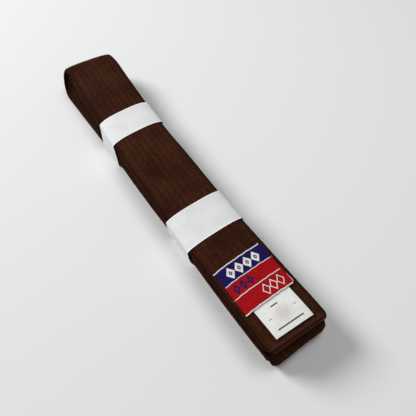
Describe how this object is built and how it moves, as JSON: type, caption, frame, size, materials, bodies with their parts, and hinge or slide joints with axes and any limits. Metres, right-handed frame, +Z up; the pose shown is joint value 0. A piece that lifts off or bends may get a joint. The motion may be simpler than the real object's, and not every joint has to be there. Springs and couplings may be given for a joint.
{
  "type": "martial arts belt",
  "caption": "Brown cotton martial arts belt, folded flat in half three times into a bundle, held by paper bands, with a woven label and a size label on its free end.",
  "frame": {"origin": "middle of the bundle's footprint, on the surface it lies on", "axes": "+X across the belt, +Y along the bundle away from the free ends, +Z up"},
  "size_m": [0.041, 0.2854, 0.0262],
  "materials": {
    "belt_cloth": "matt cotton twill, quilted lengthwise",
    "core_wadding": "undyed cotton wadding",
    "woven_label": "damask-woven blue and red stripes",
    "white_thread": "sewing thread",
    "size_label_satin": "smooth white label tape",
    "band_paper": "uncoated white paper",
    "paper_glue": "dried paper glue"
  },
  "bodies": {
    "bundle": {"belt_cover": "belt_cloth", "belt_core_ply_1": "core_wadding", "belt_core_ply_2": "core_wadding"},
    "free_end": {"free_end_cover": "belt_cloth", "free_end_core_ply_1": "core_wadding", "free_end_core_ply_2": "core_wadding", "woven_label": "woven_label", "woven_label_stitching": "white_thread", "size_label_sewn_tab": "size_label_satin"},
    "size_label_flap": {"size_label": "size_label_satin"},
    "near_band": {"paper_band_near": "band_paper", "paper_band_near_glue": "paper_glue"},
    "far_band": {"paper_band_far": "band_paper", "paper_band_far_glue": "paper_glue"}
  },
  "joints": [
    {"name": "free_end_lift", "type": "hinge", "parent": "bundle", "child": "free_end", "pos_m": [0, -0.0669, 0.0249], "axis": [-1, 0, 0], "range_deg": [0, 60]},
    {"name": "size_label_lift", "type": "hinge", "parent": "free_end", "child": "size_label_flap", "pos_m": [0, -0.1153, 0.02509], "axis": [-1, 0, 0], "range_deg": [0, 110]},
    {"name": "near_band_slide", "type": "slide", "parent": "bundle", "child": "near_band", "axis": [0, -1, 0], "range_m": [0, 0.105]},
    {"name": "far_band_slide", "type": "slide", "parent": "bundle", "child": "far_band", "axis": [0, 1, 0], "range_m": [0, 0.11]}
  ]
}
